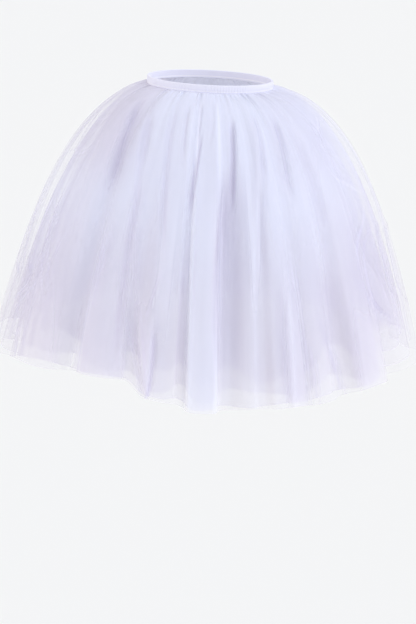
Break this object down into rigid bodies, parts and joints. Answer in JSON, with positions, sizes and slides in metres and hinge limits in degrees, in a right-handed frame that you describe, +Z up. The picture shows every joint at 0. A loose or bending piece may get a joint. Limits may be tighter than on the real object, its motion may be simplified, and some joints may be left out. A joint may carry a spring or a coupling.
{
  "type": "ballet tutu",
  "caption": "Long romantic tutu: layers of soft tulle gathered on to a narrow elastic waistband, flaring out in deep folds to an open hem below the knee.",
  "frame": {"origin": "middle of the waistband's height, on the wearer's upright axis, where the waist holds the skirt", "axes": "+Z up along the wearer, +X to the wearer's left side, the front towards -Y"},
  "size_m": [0.8656, 0.7994, 0.5647],
  "materials": {
    "elastic": "matte woven elastic",
    "tulle": "soft sheer net"
  },
  "bodies": {
    "root": {"waistband": "elastic", "tulle_layer_1_front": "tulle", "tulle_layer_1_back": "tulle", "tulle_layer_2_front": "tulle", "tulle_layer_2_back": "tulle", "tulle_layer_3_front": "tulle", "tulle_layer_3_back": "tulle", "tulle_layer_4_front": "tulle", "tulle_layer_4_back": "tulle"}
  },
  "joints": []
}
